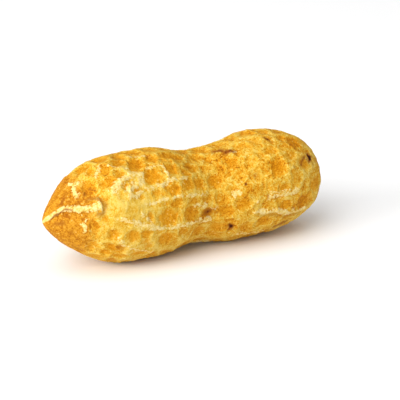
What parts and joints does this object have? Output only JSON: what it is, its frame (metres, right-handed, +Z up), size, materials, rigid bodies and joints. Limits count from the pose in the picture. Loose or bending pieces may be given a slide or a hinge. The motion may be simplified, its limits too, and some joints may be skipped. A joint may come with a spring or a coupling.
{
  "type": "peanut in its shell",
  "caption": "Closed peanut pod lying on its side: a larger lobe with a pointed beak and raised keel, a waist, and a blunt smaller lobe, covered by a raised net of ridges.",
  "frame": {"origin": "bottom centre of the bounding box, on the surface the pod lies on", "axes": "+X along the pod from the pointed beak to the blunt end, +Z up as it lies, +Y to the side away from the beak's keel"},
  "size_m": [0.045, 0.0162, 0.0159],
  "materials": {
    "peanut_shell": "dry, matt, fibrous"
  },
  "bodies": {
    "root": {"peanut_pod": "peanut_shell"}
  },
  "joints": []
}
